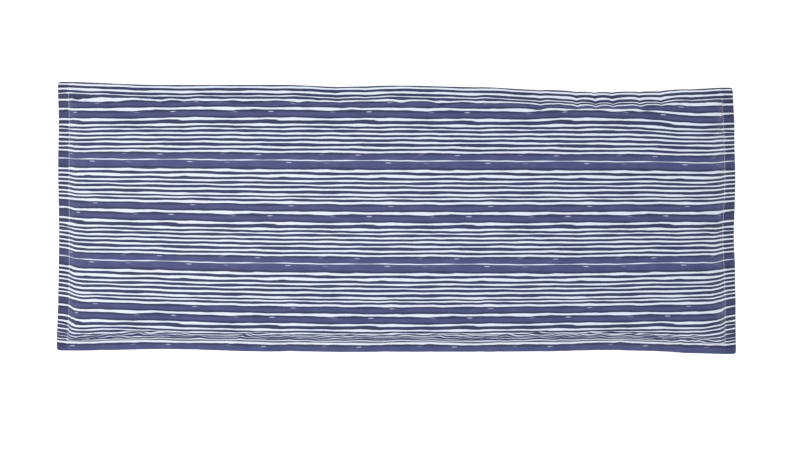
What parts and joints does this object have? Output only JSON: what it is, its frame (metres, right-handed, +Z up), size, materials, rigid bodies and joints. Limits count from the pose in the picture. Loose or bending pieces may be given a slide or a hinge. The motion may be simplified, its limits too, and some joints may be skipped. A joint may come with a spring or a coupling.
{
  "type": "bench cushion",
  "caption": "Long rectangular bench cushion in striped printed cotton, softly filled, with a flat top-stitched border all round.",
  "frame": {"origin": "on the surface the cushion lies on, under the middle of its outline", "axes": "+X along the bench, +Y across it towards the far long side, +Z up out of the printed face"},
  "size_m": [1.205, 0.483, 0.0566],
  "materials": {
    "printed_cotton": "matt plain-weave cotton printed with uneven indigo and white stripes that run along the cushion",
    "white_thread": "soft white sewing thread, in a run of top-stitches round the border"
  },
  "bodies": {
    "root": {"cushion": "printed_cotton"}
  },
  "joints": []
}
